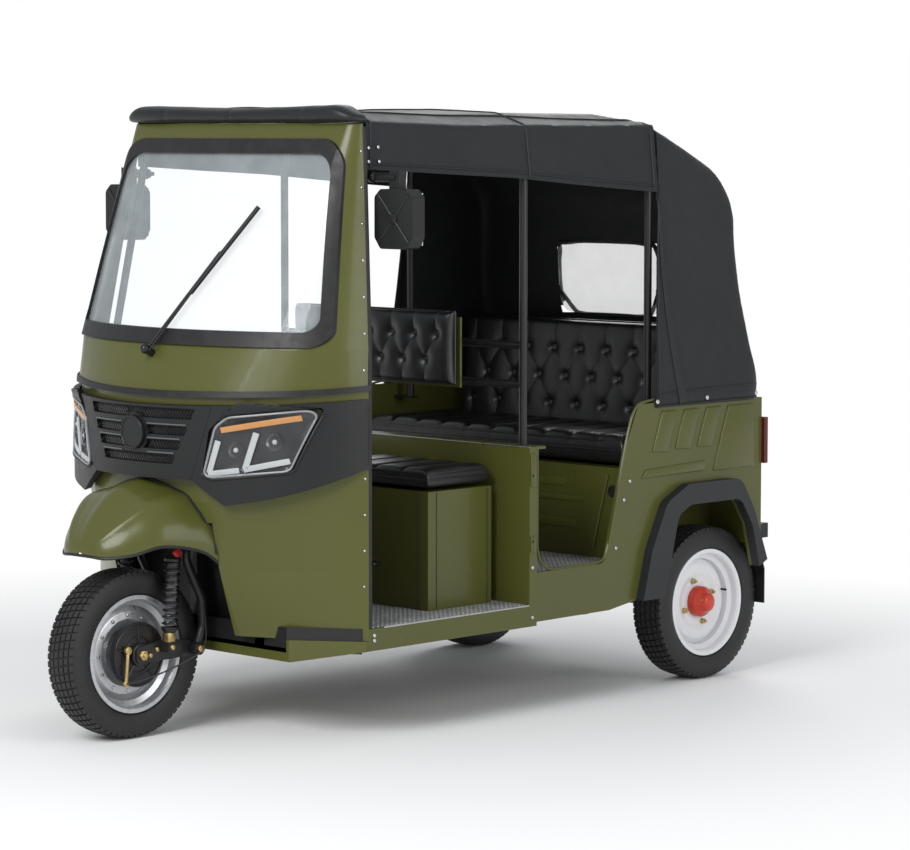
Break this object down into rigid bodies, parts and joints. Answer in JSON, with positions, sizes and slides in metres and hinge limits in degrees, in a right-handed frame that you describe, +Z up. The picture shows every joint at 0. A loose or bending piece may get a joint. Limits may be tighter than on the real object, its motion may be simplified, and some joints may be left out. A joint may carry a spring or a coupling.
{
  "type": "tricycle",
  "caption": "Passenger tricycle with a steered front wheel, driven rear axle, open-sided cab, driver's seat, rear bench and soft canopy.",
  "frame": {"origin": "on the ground, midway between the front and rear axles, on the middle plane", "axes": "+Z up, -Y forward, +X towards the vehicle's left"},
  "size_m": [1.36, 2.53, 1.8556],
  "materials": {
    "olive_paint": "semi-gloss",
    "black_paint": "semi-gloss",
    "black_plastic": "satin",
    "black_rubber": "matte",
    "tyre_rubber": "matte",
    "clear_glass": "polished",
    "lamp_lens": "polished",
    "red_lens": "gloss",
    "black_vinyl": "satin",
    "seat_vinyl": "satin",
    "silver_paint": "satin",
    "cast_metal": "matte"
  },
  "bodies": {
    "chassis": {"arch_flares": "olive_paint", "backrest_plate": "olive_paint", "belt_strip": "black_rubber", "bench_backrest": "seat_vinyl", "bench_cushion": "seat_vinyl", "canopy_frame": "black_paint", "canopy_rear": "black_vinyl", "canopy_roof": "black_vinyl", "chassis_frame": "black_paint", "dashboard": "black_plastic", "driver_backrest": "seat_vinyl", "driver_cushion": "seat_vinyl", "driver_floor": "olive_paint", "engine_block": "cast_metal", "front_beam": "olive_paint", "front_fender": "olive_paint", "front_grille": "black_plastic", "headlamps": "lamp_lens", "lamp_bezels": "black_plastic", "leaf_springs": "black_paint", "lower_nose_panel": "olive_paint", "mirrors": "black_plastic", "mud_flaps": "black_rubber", "partition": "olive_paint", "passenger_floor": "olive_paint", "rear_axle": "black_paint", "rear_buffers": "black_rubber", "rear_window": "clear_glass", "roof_visor": "black_vinyl", "seat_base": "olive_paint", "seat_box": "olive_paint", "tail_lamps": "red_lens", "tail_panel": "olive_paint", "tub_side_left": "olive_paint", "tub_side_right": "olive_paint", "upper_front_panel": "olive_paint", "wheel_housings": "olive_paint", "wheel_well_liner": "black_plastic", "windscreen_glass": "clear_glass", "windscreen_seal": "black_rubber", "wiper": "black_plastic"},
    "steering": {"steering_fork": "black_paint", "leading_arms": "black_paint", "shock_absorbers": "black_paint", "front_axle": "cast_metal", "handlebar": "black_paint"},
    "front_wheel": {"front_tyre": "tyre_rubber", "front_rim": "silver_paint"},
    "rear_wheel_left": {"rear_tyre_left": "tyre_rubber", "rear_rim_left": "silver_paint"},
    "rear_wheel_right": {"rear_tyre_right": "tyre_rubber", "rear_rim_right": "silver_paint"}
  },
  "joints": [
    {"name": "steering", "type": "hinge", "parent": "chassis", "child": "steering", "pos_m": [0, -1.06, 0], "axis": [0, 0.342, 0.9397], "range_deg": [-35, 35]},
    {"name": "front_wheel_spin", "type": "hinge", "parent": "steering", "child": "front_wheel", "pos_m": [0, -1.01, 0.25], "axis": [1, 0, 0], "continuous": true},
    {"name": "rear_left_spin", "type": "hinge", "parent": "chassis", "child": "rear_wheel_left", "pos_m": [0.497, 1.01, 0.25], "axis": [1, 0, 0], "continuous": true},
    {"name": "rear_right_spin", "type": "hinge", "parent": "chassis", "child": "rear_wheel_right", "pos_m": [-0.497, 1.01, 0.25], "axis": [1, 0, 0], "continuous": true}
  ]
}
